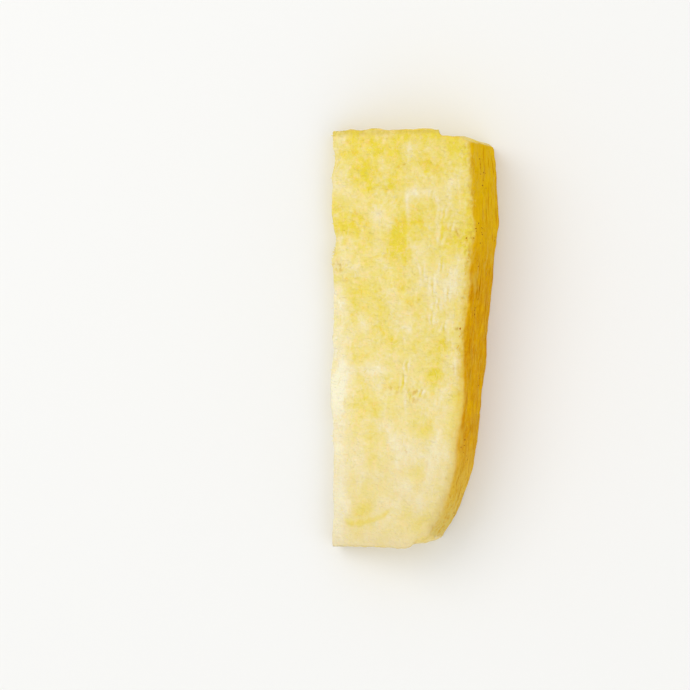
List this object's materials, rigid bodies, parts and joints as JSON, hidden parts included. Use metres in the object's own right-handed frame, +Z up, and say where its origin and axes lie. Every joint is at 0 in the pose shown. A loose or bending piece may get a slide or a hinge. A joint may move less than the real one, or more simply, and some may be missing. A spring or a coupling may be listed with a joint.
{
  "type": "pineapple spear",
  "caption": "Long wedge of peeled and cored pineapple flesh, lying on a flat cut face, with a barrel-curved peeled side, a narrow core side and a nicked, stepped outline.",
  "frame": {"origin": "centre of the footprint box, on the surface that the spear rests on", "axes": "+Z up, +Y along the spear towards the fruit's crown end, +X from the core side to the peeled side"},
  "size_m": [0.0484, 0.1204, 0.0279],
  "materials": {
    "flesh": "moist satin"
  },
  "bodies": {
    "root": {"spear": "flesh"}
  },
  "joints": []
}
